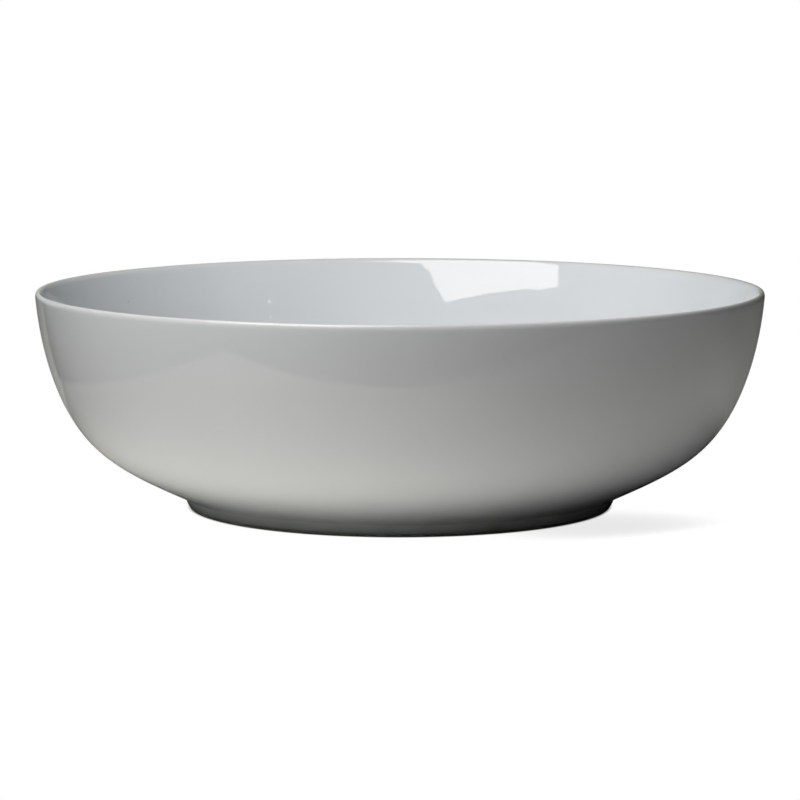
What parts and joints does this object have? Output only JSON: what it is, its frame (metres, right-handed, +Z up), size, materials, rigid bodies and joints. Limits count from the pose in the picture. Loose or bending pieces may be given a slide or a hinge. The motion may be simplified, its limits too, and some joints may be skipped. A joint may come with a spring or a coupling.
{
  "type": "serving bowl",
  "caption": "Wide, shallow round porcelain serving bowl with a flared wall, a thin rounded lip and a low turned foot ring, plain glossy glaze.",
  "frame": {"origin": "centre of the circle that the foot ring rests on, at table level", "axes": "+Z up along the bowl's axis of revolution; X and Y lie in the table plane and are interchangeable"},
  "size_m": [0.292, 0.292, 0.0877],
  "materials": {
    "porcelain": "fired and unglazed, matt, fine grained",
    "glaze": "clear glossy glaze over a cool white body"
  },
  "bodies": {
    "root": {"bowl_body": "porcelain", "foot_ring": "porcelain", "glaze_coat": "glaze", "recess_glaze": "glaze"}
  },
  "joints": []
}
